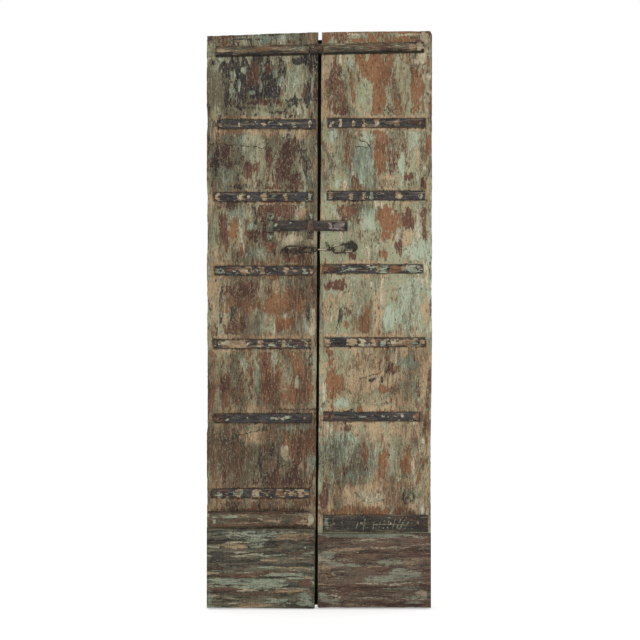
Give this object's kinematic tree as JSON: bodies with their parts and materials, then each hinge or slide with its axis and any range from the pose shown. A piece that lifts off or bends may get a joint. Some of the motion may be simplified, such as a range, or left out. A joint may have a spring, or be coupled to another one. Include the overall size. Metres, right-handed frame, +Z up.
{
  "type": "weathered plank door",
  "caption": "Pair of old painted plank door leaves with iron straps, a sliding bolt and a door chain, on wall hooks.",
  "frame": {"origin": "middle of the pair's width and depth, at the lowest point of the left leaf", "axes": "+Z up, front of the leaves facing -Y, +X to the right as seen from the front"},
  "size_m": [0.79, 0.184, 2.023],
  "materials": {
    "painted_plank": "many coats of worn, streaked paint",
    "painted_board": "worn, streaked paint with raised grain",
    "painted_bead": "worn paint over dark wood",
    "back_wood": "bare weathered wood",
    "painted_strap": "dark worn paint over forged iron",
    "nail_iron": "forged, lightly rusted",
    "hinge_iron": "forged, rusted",
    "bolt_iron": "dark iron with worn cream paint",
    "keeper_iron": "painted over, worn",
    "chain_iron": "handled dark iron, worn bright on the edges"
  },
  "bodies": {
    "wall_hooks": {"left_hook_lower": "hinge_iron", "left_hook_upper": "hinge_iron", "right_hook_lower": "hinge_iron", "right_hook_upper": "hinge_iron"},
    "left_leaf": {"left_edge_strip": "painted_plank", "left_plank_outer": "painted_plank", "left_plank_inner": "painted_plank", "left_plank_meeting": "painted_plank", "left_top_bead": "painted_bead", "left_bead_stub": "painted_bead", "left_strap_1": "painted_strap", "left_strap_2": "painted_strap", "left_strap_3": "painted_strap", "left_strap_4": "painted_strap", "left_strap_5": "painted_strap", "left_strap_6": "painted_strap", "left_kick_board": "painted_board", "left_kick_batten": "painted_board", "left_ledge_1": "back_wood", "left_ledge_2": "back_wood", "left_ledge_3": "back_wood", "left_ledge_4": "back_wood", "left_hinge_band_lower": "hinge_iron", "left_hinge_band_upper": "hinge_iron", "left_strap_nails": "nail_iron", "left_board_nails": "nail_iron", "left_band_nails": "nail_iron", "bolt_keeper_outer": "keeper_iron", "bolt_keeper_inner": "keeper_iron", "bolt_keeper_nails": "nail_iron", "chain_staple": "chain_iron"},
    "right_leaf": {"right_plank_meeting": "painted_plank", "right_plank_outer": "painted_plank", "right_edge_strip": "painted_plank", "right_top_bead": "painted_bead", "right_strap_2": "painted_strap", "right_strap_3": "painted_strap", "right_strap_4": "painted_strap", "right_strap_5": "painted_strap", "right_strap_6": "painted_strap", "right_kick_plate": "painted_strap", "right_kick_board": "painted_board", "right_ledge_1": "back_wood", "right_ledge_2": "back_wood", "right_ledge_3": "back_wood", "right_ledge_4": "back_wood", "right_lap_strip": "back_wood", "right_hinge_band_lower": "hinge_iron", "right_hinge_band_upper": "hinge_iron", "right_strap_nails": "nail_iron", "right_board_nails": "nail_iron", "right_band_nails": "nail_iron", "right_lap_nails": "nail_iron", "catch_staple": "chain_iron"},
    "bolt": {"bolt_bar": "bolt_iron"},
    "first_link": {"chain_link_1": "chain_iron"},
    "second_link": {"chain_link_2": "chain_iron"},
    "shank": {"chain_shank": "chain_iron"},
    "ring": {"chain_ring": "chain_iron"}
  },
  "joints": [
    {"name": "left_swing", "type": "hinge", "parent": "wall_hooks", "child": "left_leaf", "pos_m": [-0.373, 0.002, 0.5323], "axis": [0, 0, -1], "range_deg": [0, 95]},
    {"name": "right_swing", "type": "hinge", "parent": "wall_hooks", "child": "right_leaf", "pos_m": [0.373, 0.002, 0.5323], "axis": [0, 0, -1], "range_deg": [0, 90]},
    {"name": "bolt_slide", "type": "slide", "parent": "left_leaf", "child": "bolt", "axis": [-1, 0, 0], "range_m": [0, 0.11]},
    {"name": "first_link_turn", "type": "hinge", "parent": "left_leaf", "child": "first_link", "pos_m": [-0.123, -0.06576, 1.2554], "axis": [0, 0, -1], "range_deg": [0, 60]},
    {"name": "second_link_turn", "type": "hinge", "parent": "first_link", "child": "second_link", "pos_m": [-0.0645, -0.06576, 1.2554], "axis": [0, 0, -1], "range_deg": [0, 25]},
    {"name": "shank_turn", "type": "hinge", "parent": "second_link", "child": "shank", "pos_m": [-0.023, -0.06576, 1.2554], "axis": [0, 0, -1], "range_deg": [0, 20]},
    {"name": "ring_turn", "type": "hinge", "parent": "shank", "child": "ring", "pos_m": [0.04645, -0.06576, 1.2554], "axis": [0, 0, -1], "range_deg": [0, 75]}
  ]
}
